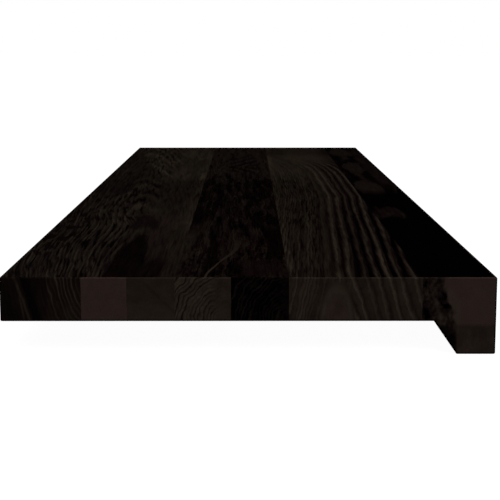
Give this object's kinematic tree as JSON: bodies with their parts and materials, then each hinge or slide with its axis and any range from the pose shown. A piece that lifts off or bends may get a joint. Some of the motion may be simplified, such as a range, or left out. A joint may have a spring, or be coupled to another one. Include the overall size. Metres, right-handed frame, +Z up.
{
  "type": "stair tread",
  "caption": "Dark stained oak stair tread of edge-glued full-length staves, flat underneath, with a downward nosing along its front edge and eased arrises.",
  "frame": {"origin": "middle of the length and of the going, level with the nosing's underside", "axes": "+X points from the back edge to the nosing, +Y runs along the tread's length, +Z is up, out of the walking face"},
  "size_m": [0.3, 1, 0.0475],
  "materials": {
    "darkest_oak": "black stained, matt oiled",
    "dark_oak": "black stained, matt oiled",
    "brown_oak": "black-brown stained, matt oiled",
    "red_brown_oak": "red-brown stained, matt oiled"
  },
  "bodies": {
    "root": {"back_stave": "darkest_oak", "second_stave": "red_brown_oak", "third_stave": "dark_oak", "fourth_stave": "brown_oak", "fifth_stave": "darkest_oak", "wide_stave": "brown_oak", "nosing_stave": "dark_oak"}
  },
  "joints": []
}
